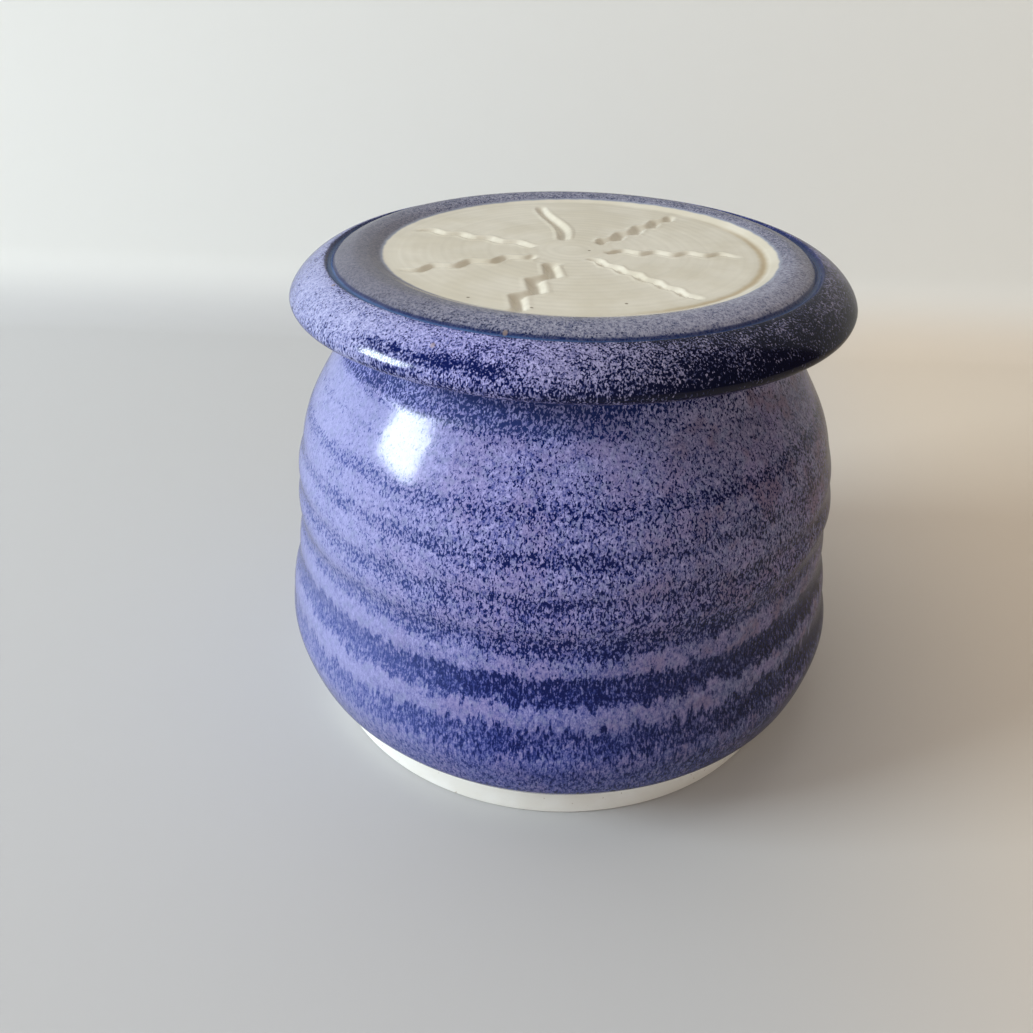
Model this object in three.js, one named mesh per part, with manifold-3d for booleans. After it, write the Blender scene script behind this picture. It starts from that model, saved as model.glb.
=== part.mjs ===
// A thrown stoneware butter crock: a bellied jar, and a lid whose underside carries a bell for the butter.
// Lengths are in millimetres, +Z is up, and the origin is the centre of the foot on the table.

import * as THREE from 'three';
import { mergeVertices } from 'three/addons/utils/BufferGeometryUtils.js';
import Module from 'manifold-3d';

const wasm = await Module();
wasm.setup();

// Jar, outside: a bare foot band, then a belly that draws in to a neck and a rounded rim
const footRadius = 56.9;
const footBandRadius = 57.5;
const footBandHeight = 6.7;
const footChamfer = 0.6;
const footRingWidth = 7.4;
const footRecessDepth = 2;
const footRecessSlope = 1;
const bellyRadius = 64.1;
const neckRadius = 45.4;
const rimFlare = 1;
const jarHeight = 95.7;

// Jar, walls and inside
const jarWall = 4.8;
const jarFloor = 7;
const jarFloorCorner = 9;

// Jar, throwing ridges: one spiral that climbs anticlockwise as seen from above and tightens on its way up
const ridgePitch = 11.2;
const ridgeTighteningShare = 0.042;
const ridgeSwell = 0.25;
const ridgeGrooveHeight = 28;
const ridgeStartHeight = 24;
const ridgeEndHeight = 88;
const ridgeFade = 9;

// Lid plate: a rolled lip, a groove, a crowned ring and a sunk disc
const seatGap = 0.3;
const lidRadius = 57.5;
const lidThickness = 10;
const lipUnderWidth = 2.6;
const lipUnderHeight = 2;
const lipBandWidth = 7;
const lipBandDrop = 1.3;
const lidGrooveWidth = 2;
const lidGrooveDepth = 0.6;
const crownWidth = 7.6;
const crownEdgeDrop = 0.8;
const discWallWidth = 2.3;
const discWallHeight = 0.7;
const ceilingRise = 2;

// Carved rays: evenly spaced wavy grooves in the disc, one of them run out to the disc's edge
const rayCount = 7;
const longRay = 4;
const firstRayTurnShare = 0.289;
const rayInnerRadius = 8.5;
const rayEndMargin = 5;
const longRayEndMargin = 0.8;
const rayWidth = 2.8;
const rayDepth = 0.9;
const raySwing = 0.8;
const rayWaves = 3.5;
const rayTipShare = 0.55;
const rayFloorShare = 0.35;

// Butter bell: an open cup under the lid plate, with its mouth above the jar's floor
const bellClearance = 2.8;
const bellWall = 4.6;
const bellSwell = 0.6;
const bellFloorClearance = 21;

// How finely the curves are cut into flats
const turnSegments = 56;
const ridgeRows = 32;
const rowsPerInnerRow = 3;
const roundSteps = 4;
const lipSteps = 6;
const rayStepsPerWave = 4;

// What follows from the sizes above
const rimRadius = neckRadius + rimFlare;
const rimCentreHeight = jarHeight - jarWall / 2;
const jarFloorTop = footRecessDepth + jarFloor;
const mouthRadius = neckRadius - jarWall;
const lidSeat = jarHeight + seatGap;
const lidCrest = lidSeat + lidThickness;
const lipEdgeHeight = lidSeat + lipUnderHeight;
const lipBandTop = lidCrest - lipBandDrop;
const grooveOuterRadius = lidRadius - lipBandWidth;
const grooveInnerRadius = grooveOuterRadius - lidGrooveWidth;
const crownInnerRadius = grooveInnerRadius - crownWidth;
const crownEdgeHeight = lidCrest - crownEdgeDrop;
const discRadius = crownInnerRadius - discWallWidth;
const discHeight = crownEdgeHeight - discWallHeight;
const bellTopRadius = mouthRadius - bellClearance - bellSwell;
const bellInnerRadius = bellTopRadius - bellWall;
const bellRimHeight = jarFloorTop + bellFloorClearance;

// The jar's outline between its foot band and its rim. Each point gives its height as a share of the way from
// the band to the rim, and its radius as a share of the way from the neck out to the belly.
const jarOutlineShares = [
  [0.035, 0.775],
  [0.085, 0.9],
  [0.185, 1],
  [0.3, 0.915],
  [0.44, 0.8],
  [0.555, 0.765],
  [0.645, 0.695],
  [0.74, 0.54],
  [0.83, 0.345],
  [0.905, 0.125],
  [0.955, 0],
];

/** Points along an elliptical arc, from one angle to another in turns, with both ends. */
function arc(centreRadius, centreHeight, across, up, fromTurn, toTurn, steps = roundSteps) {
  return Array.from({ length: steps + 1 }, (_, step) => {
    const angle = 2 * Math.PI * (fromTurn + ((toTurn - fromTurn) * step) / steps);
    return new THREE.Vector2(centreRadius + across * Math.cos(angle), centreHeight + up * Math.sin(angle));
  });
}

/** Turns a profile about the Z axis and merges the shared points. swell says how far a point moves outwards. */
function turned(profile, swell = () => 0) {
  const geometry = new THREE.LatheGeometry(profile, turnSegments);
  const position = geometry.attributes.position;
  for (let i = 0; i < position.count; i += 1) {
    const point = profile[i % profile.length];
    const segment = Math.floor(i / profile.length) % turnSegments;
    const angle = (2 * Math.PI * segment) / turnSegments;
    const radius = point.x + swell(point, angle);
    position.setXYZ(i, radius * Math.cos(angle), radius * Math.sin(angle), point.y);
  }
  geometry.deleteAttribute('normal');
  geometry.deleteAttribute('uv');
  return mergeVertices(geometry);
}

/** A closed, merged geometry as a solid that can be cut. */
function solidOf(geometry) {
  return new wasm.Manifold(
    new wasm.Mesh({
      numProp: 3,
      vertProperties: new Float32Array(geometry.attributes.position.array),
      triVerts: new Uint32Array(geometry.index.array),
    }),
  );
}

/** A cut solid's faces as a geometry again. */
function geometryOf(solid) {
  const mesh = solid.getMesh();
  const geometry = new THREE.BufferGeometry();
  geometry.setAttribute('position', new THREE.BufferAttribute(mesh.vertProperties, mesh.numProp));
  geometry.setIndex(new THREE.BufferAttribute(mesh.triVerts, 1));
  return geometry;
}

/** Points up the jar's outer wall, from the top of the foot band to where the rim starts to round over. */
function jarOutline() {
  const shaped = jarOutlineShares.map(
    ([heightShare, radiusShare]) =>
      new THREE.Vector2(
        THREE.MathUtils.lerp(neckRadius, bellyRadius, radiusShare),
        THREE.MathUtils.lerp(footBandHeight, jarHeight, heightShare),
      ),
  );
  const curve = new THREE.SplineCurve([
    new THREE.Vector2(footBandRadius, footBandHeight),
    ...shaped,
    new THREE.Vector2(rimRadius, rimCentreHeight),
  ]);
  return curve.getSpacedPoints(ridgeRows);
}

/** How far the throwing ridges stand out of the wall at a height and an angle about the axis. */
function ridgeAt(height, angle) {
  const rise = THREE.MathUtils.smoothstep(height, ridgeStartHeight - ridgeFade, ridgeStartHeight + ridgeFade);
  const fall = THREE.MathUtils.smoothstep(height, ridgeEndHeight - ridgeFade, ridgeEndHeight);
  const frontTurn = angle / (2 * Math.PI) + 1 / 4;
  const pitchesUp = (height - ridgeGrooveHeight) / ridgePitch;
  const turnsUp = pitchesUp * (1 + ridgeTighteningShare * pitchesUp) - frontTurn;
  return -ridgeSwell * rise * (1 - fall) * Math.cos(2 * Math.PI * turnsUp);
}

/** The jar: a foot ring, the ridged wall, a rounded rim and a hollow that follows the wall. */
function jar() {
  const outer = jarOutline();
  const rim = arc(rimRadius - jarWall / 2, rimCentreHeight, jarWall / 2, jarWall / 2, 0, 1 / 2);
  const cornerTop = jarFloorTop + jarFloorCorner;
  const inner = outer
    .filter((point, row) => row % rowsPerInnerRow === 0 && point.y > cornerTop && point.y < rimCentreHeight)
    .map((point) => new THREE.Vector2(point.x - jarWall, point.y))
    .reverse();
  const cornerRadius = inner.at(-1).x - jarFloorCorner;
  const corner = arc(cornerRadius, cornerTop, jarFloorCorner, jarFloorCorner, 0, -1 / 4);
  const ringInnerRadius = footRadius - footRingWidth;
  const profile = [
    new THREE.Vector2(0, footRecessDepth),
    new THREE.Vector2(ringInnerRadius - footRecessSlope, footRecessDepth),
    new THREE.Vector2(ringInnerRadius, 0),
    new THREE.Vector2(footRadius - footChamfer, 0),
    new THREE.Vector2(footRadius, footChamfer),
    ...outer,
    ...rim.slice(1),
    ...inner,
    ...corner,
    new THREE.Vector2(0, jarFloorTop),
  ];
  return turned(profile, (point, angle) => (outer.includes(point) ? ridgeAt(point.y, angle) : 0));
}

/** One ray's cutter: a wavy bar, narrow at its ends, that stands through the disc's surface. */
function rayCutter(angle, endMargin, phase) {
  const length = discRadius - endMargin - rayInnerRadius;
  const steps = Math.round(rayWaves * rayStepsPerWave);
  const upAxis = new THREE.Vector3(0, 0, 1);
  const stations = Array.from({ length: steps + 1 }, (_, step) => {
    const share = step / steps;
    const along = rayInnerRadius + length * share;
    const aside = raySwing * Math.sin(2 * Math.PI * (rayWaves * share + phase));
    const half = (rayWidth / 2) * THREE.MathUtils.lerp(rayTipShare, 1, Math.sin(Math.PI * share));
    return [
      new THREE.Vector3(along, aside - half, discHeight + rayDepth),
      new THREE.Vector3(along, aside - half * rayFloorShare, discHeight - rayDepth),
      new THREE.Vector3(along, aside + half * rayFloorShare, discHeight - rayDepth),
      new THREE.Vector3(along, aside + half, discHeight + rayDepth),
    ].map((corner) => corner.applyAxisAngle(upAxis, angle));
  });
  const corners = stations[0].length;
  const last = steps * corners;
  const faces = [0, 2, 1, 0, 3, 2, last, last + 1, last + 2, last, last + 2, last + 3];
  for (let step = 0; step < steps; step += 1) {
    for (let corner = 0; corner < corners; corner += 1) {
      const a = step * corners + corner;
      const b = step * corners + ((corner + 1) % corners);
      faces.push(a, b, b + corners, a, b + corners, a + corners);
    }
  }
  const geometry = new THREE.BufferGeometry().setFromPoints(stations.flat());
  geometry.setIndex(faces);
  return geometry;
}

/** The lid plate, with the bell's ceiling below and the carved rays cut into its disc. */
function lidPlate() {
  const ceilingEdge = bellInnerRadius - ceilingRise;
  const lipRise = lipBandTop - lipEdgeHeight;
  const crown = new THREE.SplineCurve([
    new THREE.Vector2(grooveInnerRadius, lipBandTop),
    new THREE.Vector2((grooveInnerRadius + crownInnerRadius) / 2, lidCrest),
    new THREE.Vector2(crownInnerRadius, crownEdgeHeight),
  ]);
  const plate = turned([
    new THREE.Vector2(0, lidSeat + ceilingRise),
    ...arc(ceilingEdge, lidSeat, ceilingRise, ceilingRise, 1 / 4, 0),
    ...arc(lidRadius - lipUnderWidth, lipEdgeHeight, lipUnderWidth, lipUnderHeight, 3 / 4, 1),
    ...arc(grooveOuterRadius, lipEdgeHeight, lipBandWidth, lipRise, 0, 1 / 4, lipSteps).slice(1),
    new THREE.Vector2(grooveOuterRadius - lidGrooveWidth / 2, lipBandTop - lidGrooveDepth),
    ...crown.getPoints(lipSteps),
    new THREE.Vector2(discRadius, discHeight),
    new THREE.Vector2(0, discHeight),
  ]);
  let carved = solidOf(plate);
  for (let ray = 0; ray < rayCount; ray += 1) {
    const turn = firstRayTurnShare - ray / rayCount;
    const endMargin = ray === longRay ? longRayEndMargin : rayEndMargin;
    const cutter = rayCutter(2 * Math.PI * turn, endMargin, ray / rayCount);
    carved = carved.subtract(solidOf(cutter));
  }
  return geometryOf(carved);
}

/** The bell: a slightly swelled cup, open at its rounded mouth, whose top lies against the lid plate. */
function bell() {
  const mouthHeight = bellRimHeight + bellWall / 2;
  const outer = new THREE.SplineCurve([
    new THREE.Vector2(bellTopRadius, mouthHeight),
    new THREE.Vector2(bellTopRadius + bellSwell, (mouthHeight + lidSeat) / 2),
    new THREE.Vector2(bellTopRadius, lidSeat),
  ]).getPoints(lipSteps);
  const inner = outer.map((point) => new THREE.Vector2(point.x - bellWall, point.y)).reverse();
  const mouth = arc(bellTopRadius - bellWall / 2, mouthHeight, bellWall / 2, bellWall / 2, -1 / 2, 0);
  return turned([...inner, ...mouth.slice(1, -1), ...outer, inner[0]]);
}

/** A named sub-part with its own fired finish. */
function subPart(name, geometry, color, roughness) {
  const material = new THREE.MeshStandardMaterial({ color, roughness, metalness: 0, flatShading: true });
  const mesh = new THREE.Mesh(geometry, material);
  mesh.name = name;
  return mesh;
}

const butterCrock = new THREE.Group();
butterCrock.name = 'butter_crock';
butterCrock.add(
  subPart('crock_jar', jar(), 0x6f6fa6, 0.2),
  subPart('lid_plate', lidPlate(), 0x77759f, 0.25),
  subPart('butter_bell', bell(), 0xcbc3b2, 0.3),
);

export default butterCrock;
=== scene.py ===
"""A hand-thrown stoneware butter crock: a bellied jar, and a lid that carries a bell for the butter.

Blender works in metres. The potter's sizes below are in millimetres and are multiplied by MM."""

import math

import bpy
from mathutils import Matrix, Vector


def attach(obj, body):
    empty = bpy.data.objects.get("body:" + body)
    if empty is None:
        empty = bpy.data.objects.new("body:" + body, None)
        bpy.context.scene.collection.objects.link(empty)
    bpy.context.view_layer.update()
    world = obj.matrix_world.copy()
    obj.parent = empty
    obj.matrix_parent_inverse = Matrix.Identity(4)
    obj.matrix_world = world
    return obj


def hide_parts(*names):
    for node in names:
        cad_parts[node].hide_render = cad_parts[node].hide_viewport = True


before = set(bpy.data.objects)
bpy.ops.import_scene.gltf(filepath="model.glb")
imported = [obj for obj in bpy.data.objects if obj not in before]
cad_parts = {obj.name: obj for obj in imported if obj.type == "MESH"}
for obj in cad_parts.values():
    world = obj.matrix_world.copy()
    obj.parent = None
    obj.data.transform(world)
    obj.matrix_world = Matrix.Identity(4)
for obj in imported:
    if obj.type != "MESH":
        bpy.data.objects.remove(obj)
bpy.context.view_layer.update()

MM = 0.001
TURN = 2 * math.pi


# Camera
# A phone held about 25 cm away, a little to the right of the crock's axis, and tilted down at the lid.
# Its place, tilt and lens are fitted to the outlines of the lid, the belly and the foot.
camera_distance = 187.61 * MM
camera_height = 159.25 * MM
camera_tilt = math.radians(90 - 32.689)
camera_yaw = math.radians(3.177)
camera_roll = math.radians(1.087)
camera_data = bpy.data.cameras.new("camera")
camera_data.sensor_width = 36
camera_data.lens = 31.77
camera_data.clip_start = 0.01
camera = bpy.data.objects.new("camera", camera_data)
camera.matrix_world = (
    Matrix.Translation((0, -camera_distance, camera_height))
    @ Matrix.Rotation(camera_yaw, 4, "Z")
    @ Matrix.Rotation(camera_tilt, 4, "X")
    @ Matrix.Rotation(camera_roll, 4, "Z")
)
scene = bpy.context.scene
scene.collection.objects.link(camera)
scene.camera = camera
scene.view_settings.view_transform = "Standard"


# Floor and backdrop
# One pale sheet that lies under the crock and sweeps up into a wall behind it. It is the stage, and not
# part of the object. The helpers that write node trees come first, because the sheet is the first user.
class Wire:
    """One value in a node tree, so that a rule for a shape or a colour reads as a sum."""

    def __init__(self, tree, socket):
        self.tree, self.socket = tree, socket

    def node(self, kind, inputs, output=0, **settings):
        return add_node(self.tree, kind, inputs, output, **settings)

    def math(self, operation, *others, clamp=False):
        inputs = dict(enumerate((self, *others)))
        return self.node("ShaderNodeMath", inputs, operation=operation, use_clamp=clamp)

    def __add__(self, other):
        return self.math("ADD", other)

    def __mul__(self, other):
        return self.math("MULTIPLY", other)

    def __sub__(self, other):
        return self.math("SUBTRACT", other)

    def __rsub__(self, other):
        return self.math("MULTIPLY_ADD", -1, other)

    def __truediv__(self, other):
        return self.math("DIVIDE", other)

    def __neg__(self):
        return self.math("MULTIPLY", -1)

    __radd__, __rmul__ = __add__, __mul__

    def between(self, low, high):
        """0 below low, 1 above high, and a smooth slope from one to the other."""
        inputs = {"Value": self, "From Min": low, "From Max": high}
        return self.node("ShaderNodeMapRange", inputs, interpolation_type="SMOOTHSTEP")

    def bump_at(self, centre, reach):
        """1 at the centre, and a smooth fall to 0 at the reach on both sides of it."""
        return 1 - (self - centre).math("ABSOLUTE").between(0, reach)

    def clamped(self):
        return self.math("ADD", 0, clamp=True)


def add_node(tree, kind, inputs=None, output=0, **settings):
    """Adds a node, sets it up, plugs its inputs by name or number, and returns one output as a Wire."""
    node = tree.nodes.new(kind)
    for name, value in settings.items():
        setattr(node, name, value)
    for key, value in (inputs or {}).items():
        socket = node.inputs[key]
        if isinstance(value, Wire):
            tree.links.new(value.socket, socket)
        else:
            socket.default_value = value
    return Wire(tree, node.outputs[output])


def new_material(name, roughness, **constants):
    """A material with one principled shader; constants set the shader's own sockets."""
    material = bpy.data.materials.new(name)
    material.use_nodes = True
    shader = material.node_tree.nodes["Principled BSDF"]
    shader.inputs["Roughness"].default_value = roughness
    for socket, value in constants.items():
        shader.inputs[socket.replace("_", " ")].default_value = value
    return material, material.node_tree, shader


def mix(share, low, high):
    """Mixes two colours by a share."""
    tree = share.tree
    node = tree.nodes.new("ShaderNodeMix")
    node.data_type = "RGBA"
    for identifier, value in (("Factor_Float", share), ("A_Color", low), ("B_Color", high)):
        socket = next(s for s in node.inputs if s.identifier == identifier)
        if isinstance(value, Wire):
            tree.links.new(value.socket, socket)
        else:
            socket.default_value = value
    return Wire(tree, next(s for s in node.outputs if s.identifier == "Result_Color"))


floor_half_width = 900 * MM
floor_front = -800 * MM
wall_distance = 231 * MM
wall_height = 900 * MM
sweep_radius = 30 * MM
sweep_steps = 16
floor_color = (0.515, 0.51, 0.512, 1)
# Painted warm light: the floor is painted warmer and lighter to the crock's right, where its shadow
# falls.
painted_warm_light_color = (0.69, 0.6, 0.5, 1)
painted_warm_light_from_to = (20 * MM, 160 * MM)
wall_color = (0.83, 0.825, 0.795, 1)
black = (0, 0, 0, 1)
mirrored_share = 0.5

sweep = [(floor_front, 0), (wall_distance - sweep_radius, 0)]
for step in range(1, sweep_steps):
    angle = TURN / 4 * step / sweep_steps
    sweep.append(
        (
            wall_distance - sweep_radius + sweep_radius * math.sin(angle),
            sweep_radius - sweep_radius * math.cos(angle),
        )
    )
sweep += [(wall_distance, sweep_radius), (wall_distance, wall_height)]
backdrop_mesh = bpy.data.meshes.new("backdrop")
backdrop_mesh.from_pydata(
    [(side * floor_half_width, y, z) for y, z in sweep for side in (-1, 1)],
    [],
    [(2 * i, 2 * i + 1, 2 * i + 3, 2 * i + 2) for i in range(len(sweep) - 1)],
)
backdrop_mesh.shade_smooth()
backdrop = bpy.data.objects.new("backdrop", backdrop_mesh)
scene.collection.objects.link(backdrop)
backdrop_material, tree, backdrop_shader = new_material("pale_sheet", 0.9, Specular_IOR_Level=0.1)
coordinates = add_node(tree, "ShaderNodeTexCoord", output="Object")
aside, height = (add_node(tree, "ShaderNodeSeparateXYZ", {0: coordinates}, axis) for axis in "XZ")
# painted warm light on the floor to the crock's right
floor_with_painted_warm_light = mix(aside.between(*painted_warm_light_from_to), floor_color, painted_warm_light_color)
sheet_color = mix(height.between(0, sweep_radius), floor_with_painted_warm_light, wall_color)
mirrored = add_node(tree, "ShaderNodeLightPath", output="Is Glossy Ray")
sheet_color = mix(mirrored * (1 - mirrored_share), sheet_color, black)
tree.links.new(sheet_color.socket, backdrop_shader.inputs["Base Color"])
backdrop_mesh.materials.append(backdrop_material)


# Light
# A soft rectangular window low on the left, a wide pale ceiling, and the dim room around them. The
# ceiling lights the crock, but the glaze doesn't mirror it.
crock_middle = Vector((0, 0, 60 * MM))


def soft_light(name, azimuth, elevation, distance, width, height, watts, color):
    """A soft rectangular lamp that faces the crock from a direction given in degrees."""
    lamp = bpy.data.lights.new(name, "AREA")
    lamp.shape = "RECTANGLE"
    lamp.size, lamp.size_y = width, height
    lamp.energy = watts
    lamp.color = color
    lamp_object = bpy.data.objects.new(name, lamp)
    azimuth, elevation = math.radians(azimuth), math.radians(elevation)
    aim = Vector(
        (
            math.cos(elevation) * math.cos(azimuth),
            math.cos(elevation) * math.sin(azimuth),
            math.sin(elevation),
        )
    )
    turned = aim.to_track_quat("Z", "Y").to_matrix().to_4x4()
    lamp_object.matrix_world = Matrix.Translation(crock_middle + aim * distance) @ turned
    scene.collection.objects.link(lamp_object)
    return lamp_object


soft_light(
    "window",
    azimuth=-165,
    elevation=22.5,
    distance=1.8,
    width=0.66,
    height=0.45,
    watts=30,
    color=(0.8, 0.93, 1.0),
)
ceiling = soft_light(
    "ceiling",
    azimuth=172,
    elevation=60,
    distance=2,
    width=3,
    height=3,
    watts=17,
    color=(1.0, 0.97, 0.92),
)
ceiling.visible_glossy = False
bright_side = Vector((-0.77, -0.64, 0))
bright_room = (0.66, 0.64, 0.62, 1)
dim_room = (0.27, 0.18, 0.1, 1)
mirrored_strength = 0.23
world = bpy.data.worlds.new("room")
world.use_nodes = True
tree = world.node_tree
direction = add_node(tree, "ShaderNodeTexCoord", output="Generated")
brightness = add_node(
    tree, "ShaderNodeVectorMath", {0: direction, 1: bright_side}, "Value", operation="DOT_PRODUCT"
)
room = mix(brightness.between(-1, 1), dim_room, bright_room)
background = tree.nodes["Background"]
tree.links.new(room.socket, background.inputs["Color"])
mirrored = add_node(tree, "ShaderNodeLightPath", output="Is Glossy Ray")
strength = 1 - mirrored * (1 - mirrored_strength)
tree.links.new(strength.socket, background.inputs["Strength"])
scene.world = world


# Jar
# One pot thrown from pale stoneware and trimmed at its foot. The throwing left one spiral of ridges up
# the wall. Lavender glaze covers the outside down to the bare foot, and a cream liner fills the inside.
jar_height = 95.7
foot_radius = 56.9
foot_band_radius = 57.5
foot_band_height = 6.7
foot_edge_round = 0.7
foot_ring_width = 7.4
foot_recess_depth = 2
recess_slope = 1.2
foot_bevel = 0.3
glaze_thickness = 0.35
belly_radius = 64.9
neck_radius = 45.4
rim_radius = 46.4
jar_wall = 4.8
jar_floor_top = 9
floor_corner_radius = 9
jar_segments = 256
wall_spacing = 0.62
ridge_pitch = 12.4
ridge_tightening = 0.085
ridge_height = 0.25
first_groove = 28
ridges_start = (15, 33)
ridges_end = (58, 72)
hand_unevenness = 0.5
inner_ridge_share = 0.6
# The wall's outline: how far up from the foot band to the rim, and how far out from neck to belly
jar_outline_shares = [
    (0.035, 0.76),
    (0.085, 0.91),
    (0.185, 1),
    (0.3, 0.9),
    (0.44, 0.78),
    (0.555, 0.76),
    (0.645, 0.69),
    (0.74, 0.56),
    (0.83, 0.33),
    (0.905, 0.105),
    (0.955, 0),
]


def arc(centre, radii, from_turn, to_turn, steps):
    """Points along an elliptical arc, with both ends."""
    points = []
    for step in range(steps + 1):
        angle = TURN * (from_turn + (to_turn - from_turn) * step / steps)
        points.append(
            (centre[0] + radii[0] * math.cos(angle), centre[1] + radii[1] * math.sin(angle))
        )
    return points


def line(start, end, steps):
    """Points along a straight line, without its start."""
    return [
        tuple(a + (b - a) * (step + 1) / steps for a, b in zip(start, end))
        for step in range(steps)
    ]


def curve_through(points, spacing):
    """A smooth curve through some points, stepped at a spacing, with both ends."""
    dense, fine_steps = [], 40
    padded = [points[0], *points, points[-1]]
    for a, b, c, d in zip(padded, padded[1:], padded[2:], padded[3:]):
        for step in range(fine_steps):
            t = step / fine_steps
            dense.append(
                Vector(
                    0.5
                    * (
                        2 * b[k]
                        + (c[k] - a[k]) * t
                        + (2 * a[k] - 5 * b[k] + 4 * c[k] - d[k]) * t**2
                        + (3 * b[k] - a[k] - 3 * c[k] + d[k]) * t**3
                    )
                    for k in (0, 1)
                )
            )
    dense.append(Vector(points[-1]))
    lengths = [0.0]
    for a, b in zip(dense, dense[1:]):
        lengths.append(lengths[-1] + (b - a).length)
    steps = max(1, round(lengths[-1] / spacing))
    stepped, i = [], 0
    for step in range(steps + 1):
        target = lengths[-1] * step / steps
        while i < len(dense) - 2 and lengths[i + 1] < target:
            i += 1
        share = (target - lengths[i]) / (lengths[i + 1] - lengths[i])
        stepped.append(tuple(dense[i].lerp(dense[i + 1], share)))
    return stepped


def turning_tree():
    """The wheel: turns a line of profile points about the upright axis, ridged and a little uneven.

    Each profile point says how strongly the ridges show there and which finish it has. A face takes
    the mean of its corners, so it keeps the lower finish where two that are next to each other meet."""
    tree = bpy.data.node_groups.new("turn_on_wheel", "GeometryNodeTree")
    ports = tree.interface
    ports.new_socket("Geometry", in_out="OUTPUT", socket_type="NodeSocketGeometry")
    for name, kind in (
        ("Profile", "NodeSocketGeometry"),
        ("Segments", "NodeSocketInt"),
        ("Ridge Pitch", "NodeSocketFloat"),
        ("Ridge Tightening", "NodeSocketFloat"),
        ("Ridge Height", "NodeSocketFloat"),
        ("First Groove", "NodeSocketFloat"),
        ("Unevenness", "NodeSocketFloat"),
        ("Seed", "NodeSocketFloat"),
        ("First Finish", "NodeSocketMaterial"),
        ("Second Finish", "NodeSocketMaterial"),
        ("Third Finish", "NodeSocketMaterial"),
    ):
        ports.new_socket(name, in_out="INPUT", socket_type=kind)
    entry = tree.nodes.new("NodeGroupInput")
    given = {socket.name: Wire(tree, socket) for socket in entry.outputs if socket.name}

    size = add_node(
        tree, "GeometryNodeAttributeDomainSize", {"Geometry": given["Profile"]}, "Point Count"
    )
    grid = add_node(
        tree,
        "GeometryNodeMeshGrid",
        {"Vertices X": given["Segments"] + 1, "Vertices Y": size},
        "Mesh",
    )
    index = add_node(tree, "GeometryNodeInputIndex")
    column = (index / size).math("FLOOR")
    row = index - column * size
    angle = column / given["Segments"] * TURN

    def sampled(value, data_type):
        inputs = {"Geometry": given["Profile"], "Value": value, "Index": row}
        return add_node(tree, "GeometryNodeSampleIndex", inputs, data_type=data_type)

    def profile_attribute(name):
        inputs = {"Name": name}
        value = add_node(tree, "GeometryNodeInputNamedAttribute", inputs, data_type="FLOAT")
        return sampled(value, "FLOAT")

    place = sampled(add_node(tree, "GeometryNodeInputPosition"), "FLOAT_VECTOR")
    radius = add_node(tree, "ShaderNodeSeparateXYZ", {0: place}, "X")
    height = add_node(tree, "ShaderNodeSeparateXYZ", {0: place}, "Z")
    ridge_share = profile_attribute("ridge_share")
    finish = profile_attribute("finish")

    pitches = (height - given["First Groove"]) / given["Ridge Pitch"]
    turns = pitches * (1 + given["Ridge Tightening"] * pitches) - angle / TURN - 0.25
    round_place = add_node(
        tree,
        "ShaderNodeCombineXYZ",
        {"X": angle.math("COSINE") * radius, "Y": angle.math("SINE") * radius, "Z": height},
    )
    noise_inputs = {"Vector": round_place, "W": given["Seed"], "Scale": 28, "Detail": 1}
    wander = add_node(tree, "ShaderNodeTexNoise", noise_inputs, noise_dimensions="4D") - 0.5
    ridge = -(((turns + wander * 0.35) * TURN).math("COSINE")) * given["Ridge Height"] * ridge_share
    outward = ridge + wander * given["Unevenness"] * radius.between(0, 20 * MM)
    grown = 1 + outward / radius.math("MAXIMUM", MM)
    thrown_place = add_node(
        tree,
        "ShaderNodeCombineXYZ",
        {
            "X": angle.math("COSINE") * radius * grown,
            "Y": angle.math("SINE") * radius * grown,
            "Z": height,
        },
    )
    thrown = add_node(
        tree, "GeometryNodeSetPosition", {"Geometry": grid, "Position": thrown_place}
    )
    kept = add_node(
        tree,
        "GeometryNodeStoreNamedAttribute",
        {"Geometry": thrown, "Name": "finish", "Value": finish},
        data_type="FLOAT",
        domain="POINT",
    )
    closed = add_node(
        tree, "GeometryNodeMergeByDistance", {"Geometry": kept, "Distance": 0.002 * MM}
    )
    smooth = add_node(tree, "GeometryNodeSetShadeSmooth", {"Geometry": closed})
    real = add_node(tree, "GeometryNodeRealizeInstances", {"Geometry": smooth})
    glazed = add_node(
        tree,
        "GeometryNodeSetMaterial",
        {"Geometry": real, "Material": given["First Finish"]},
    )
    stored = add_node(
        tree, "GeometryNodeInputNamedAttribute", {"Name": "finish"}, data_type="FLOAT"
    )
    for number, name in ((1, "Second Finish"), (2, "Third Finish")):
        inputs = {0: stored, 1: number - 0.5}
        here = add_node(tree, "FunctionNodeCompare", inputs, operation="GREATER_THAN")
        glazed = add_node(
            tree,
            "GeometryNodeSetMaterial",
            {"Geometry": glazed, "Selection": here, "Material": given[name]},
        )
    leave = tree.nodes.new("NodeGroupOutput")
    tree.links.new(glazed.socket, leave.inputs["Geometry"])
    return tree


def add_tree(piece, tree, **settings):
    """Puts a tree on a piece and sets its named inputs by their identifiers."""
    modifier = piece.modifiers.new(tree.name, "NODES")
    modifier.node_group = tree
    for item in tree.interface.items_tree:
        key = item.name.lower().replace(" ", "_")
        if item.in_out == "INPUT" and key in settings:
            modifier[item.identifier] = settings.pop(key)
    if settings:
        raise ValueError(f"{tree.name} has no input {sorted(settings)}")


def profile_piece(name, points):
    """A line of profile points; each is (radius, height, ridge share, finish number)."""
    mesh = bpy.data.meshes.new(name + "_profile")
    mesh.from_pydata(
        [(p[0] * MM, 0, p[1] * MM) for p in points],
        [(i, i + 1) for i in range(len(points) - 1)],
        [],
    )
    for column, attribute in ((2, "ridge_share"), (3, "finish")):
        values = mesh.attributes.new(attribute, "FLOAT", "POINT")
        values.data.foreach_set("value", [float(p[column]) for p in points])
    piece = bpy.data.objects.new(name + "_profile", mesh)
    scene.collection.objects.link(piece)
    return piece


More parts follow.
